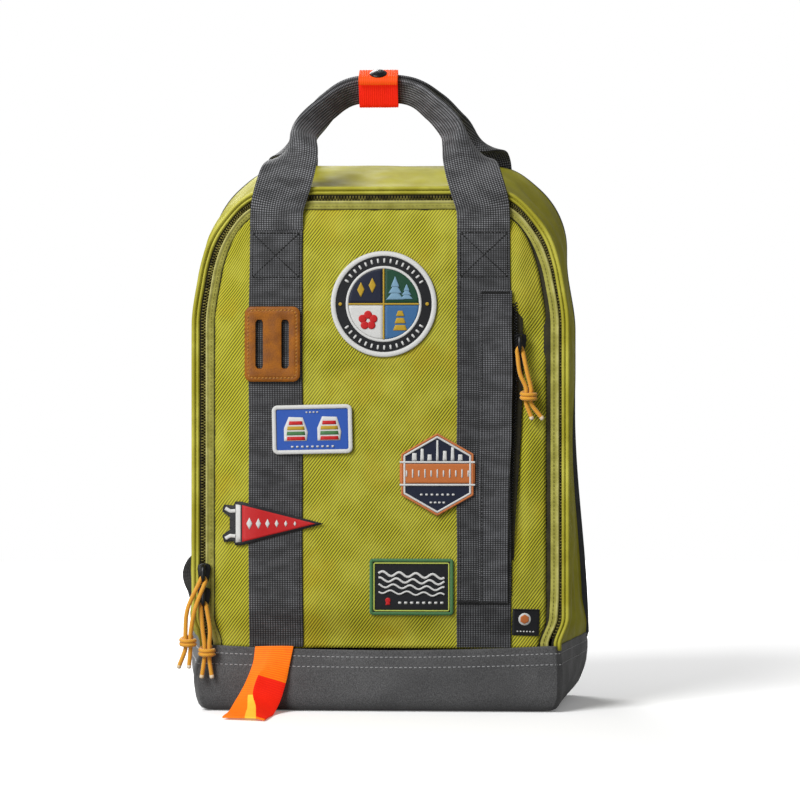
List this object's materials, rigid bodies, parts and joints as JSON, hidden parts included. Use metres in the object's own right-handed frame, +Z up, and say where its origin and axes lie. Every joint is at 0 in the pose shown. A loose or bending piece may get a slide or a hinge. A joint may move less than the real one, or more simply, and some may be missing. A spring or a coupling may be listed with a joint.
{
  "type": "school backpack",
  "caption": "Boxy school backpack with a zip-open front panel, grey coated base, paired carry handles held by an orange keeper, webbing straps, patches and padded shoulder straps.",
  "frame": {"origin": "on the floor, under the middle of the flat base", "axes": "+Z up, +Y from the front panel towards the wearer's back, +X to the right seen from the front"},
  "size_m": [0.3132, 0.2338, 0.4563],
  "materials": {
    "shell_fabric": "olive lime polyester twill, matt with a slight sheen",
    "zip_tape": "khaki woven zip tape, matt",
    "zip_teeth": "dark nylon coil teeth",
    "webbing": "charcoal basket-weave nylon webbing",
    "air_mesh": "charcoal padded air mesh",
    "coated_fabric": "grey heathered coated fabric, low sheen",
    "stiffener": "black polypropylene sheet",
    "lining": "grey plain-weave lining",
    "leather": "tan brown leather, stitched edge",
    "embroidery": "embroidered twill with merrowed border",
    "zip_metal": "black enamelled metal",
    "buckle_plastic": "black moulded acetal",
    "pull_cord": "orange braided cord",
    "ribbon": "neon orange grosgrain ribbon"
  },
  "bodies": {
    "bag_body": {"gusset_left": "shell_fabric", "gusset_top": "shell_fabric", "gusset_right": "shell_fabric", "gusset_piping": "shell_fabric", "gusset_zip_tape": "zip_tape", "gusset_zip_teeth": "zip_teeth", "back_panel": "air_mesh", "back_pad_left": "air_mesh", "back_pad_right": "air_mesh", "strap_yoke": "shell_fabric", "rear_webbing_left": "webbing", "rear_webbing_right": "webbing", "laptop_sleeve": "lining", "base_boot": "coated_fabric", "base_board": "stiffener", "anchor_tab_left": "webbing", "anchor_tab_right": "webbing", "lower_webbing_left": "webbing", "lower_webbing_right": "webbing"},
    "front_panel": {"front_panel": "shell_fabric", "panel_zip_tape": "zip_tape", "panel_zip_teeth": "zip_teeth", "front_webbing_left": "webbing", "front_webbing_right": "webbing", "pocket_zip": "zip_teeth", "front_pocket_bag": "lining", "lash_tab": "leather", "badge_round": "embroidery", "badge_blue": "embroidery", "badge_pennant": "embroidery", "badge_hexagon": "embroidery", "badge_green": "embroidery", "woven_label": "embroidery"},
    "front_handle": {"front_handle": "webbing"},
    "rear_handle": {"rear_handle": "webbing", "keeper_band": "ribbon", "snap_socket": "zip_metal"},
    "keeper_flap": {"keeper_flap": "ribbon", "snap_cap": "zip_metal"},
    "main_slider_upper": {"main_slider_upper": "zip_metal"},
    "main_slider_lower": {"main_slider_lower": "zip_metal"},
    "upper_pull": {"upper_pull_cord_a": "pull_cord", "upper_pull_cord_b": "pull_cord", "upper_pull_knot": "pull_cord"},
    "lower_pull": {"lower_pull_cord_a": "pull_cord", "lower_pull_cord_b": "pull_cord", "lower_pull_knot": "pull_cord"},
    "pocket_slider": {"pocket_slider": "zip_metal"},
    "pocket_pull": {"pocket_pull_cord_a": "pull_cord", "pocket_pull_cord_b": "pull_cord", "pocket_pull_knot": "pull_cord"},
    "ribbon_tab": {"ribbon_tab": "ribbon"},
    "shoulder_strap_left": {"shoulder_strap_left": "air_mesh"},
    "shoulder_strap_right": {"shoulder_strap_right": "air_mesh"},
    "ladder_lock_left": {"ladder_lock_left": "buckle_plastic", "strap_tail_left": "webbing"},
    "ladder_lock_right": {"ladder_lock_right": "buckle_plastic", "strap_tail_right": "webbing"}
  },
  "joints": [
    {"name": "front_panel_open", "type": "hinge", "parent": "bag_body", "child": "front_panel", "pos_m": [0, -0.066, 0.0465], "axis": [1, 0, 0], "range_deg": [0, 95], "deforming": ["keeper_band", "keeper_flap", "snap_socket", "lower_pull_cord_a", "lower_pull_cord_b", "lower_pull_knot"]},
    {"name": "front_handle_swing", "type": "hinge", "parent": "front_panel", "child": "front_handle", "pos_m": [0, -0.0634, 0.3405], "axis": [1, 0, 0], "range_deg": [0, 130], "deforming": ["keeper_band", "keeper_flap", "snap_socket"]},
    {"name": "rear_handle_swing", "type": "hinge", "parent": "bag_body", "child": "rear_handle", "pos_m": [0, 0.06, 0.3945], "axis": [-1, 0, 0], "range_deg": [0, 100], "deforming": ["keeper_band", "keeper_flap", "snap_socket"]},
    {"name": "keeper_flap_open", "type": "hinge", "parent": "rear_handle", "child": "keeper_flap", "pos_m": [0, -0.00473, 0.45547], "axis": [-1, 0, 0], "range_deg": [0, 150]},
    {"name": "main_slider_upper_run", "type": "slide", "parent": "front_panel", "child": "main_slider_upper", "axis": [0, 0, 1], "range_m": [0, 0.19]},
    {"name": "main_slider_lower_run", "type": "slide", "parent": "front_panel", "child": "main_slider_lower", "axis": [0, 0, 1], "range_m": [-0.008, 0]},
    {"name": "upper_pull_swing", "type": "hinge", "parent": "main_slider_upper", "child": "upper_pull", "pos_m": [-0.124, -0.0675, 0.0915], "axis": [-1, 0, 0], "range_deg": [0, 100]},
    {"name": "lower_pull_swing", "type": "hinge", "parent": "main_slider_lower", "child": "lower_pull", "pos_m": [-0.1234, -0.0675, 0.0735], "axis": [-1, 0, 0], "range_deg": [0, 80]},
    {"name": "pocket_slider_run", "type": "slide", "parent": "front_panel", "child": "pocket_slider", "axis": [0, 0, -1], "range_m": [0, 0.165]},
    {"name": "pocket_pull_swing", "type": "hinge", "parent": "pocket_slider", "child": "pocket_pull", "pos_m": [0.098, -0.0675, 0.2525], "axis": [-1, 0, 0], "range_deg": [0, 100]},
    {"name": "ribbon_tab_lift", "type": "hinge", "parent": "bag_body", "child": "ribbon_tab", "pos_m": [-0.075, -0.0655, 0.0465], "axis": [-1, 0, 0], "range_deg": [0, 20]},
    {"name": "shoulder_strap_left_swing", "type": "hinge", "parent": "bag_body", "child": "shoulder_strap_left", "pos_m": [-0.04, 0.07, 0.358], "axis": [1, 0, 0], "range_deg": [0, 20], "deforming": ["lower_webbing_left"]},
    {"name": "ladder_lock_left_tilt", "type": "hinge", "parent": "shoulder_strap_left", "child": "ladder_lock_left", "pos_m": [-0.1015, 0.081, 0.149], "axis": [1, 0, 0], "range_deg": [-5, 25]},
    {"name": "shoulder_strap_right_swing", "type": "hinge", "parent": "bag_body", "child": "shoulder_strap_right", "pos_m": [0.04, 0.07, 0.358], "axis": [1, 0, 0], "range_deg": [0, 20], "deforming": ["lower_webbing_right"]},
    {"name": "ladder_lock_right_tilt", "type": "hinge", "parent": "shoulder_strap_right", "child": "ladder_lock_right", "pos_m": [0.1015, 0.081, 0.149], "axis": [1, 0, 0], "range_deg": [-5, 25]}
  ]
}
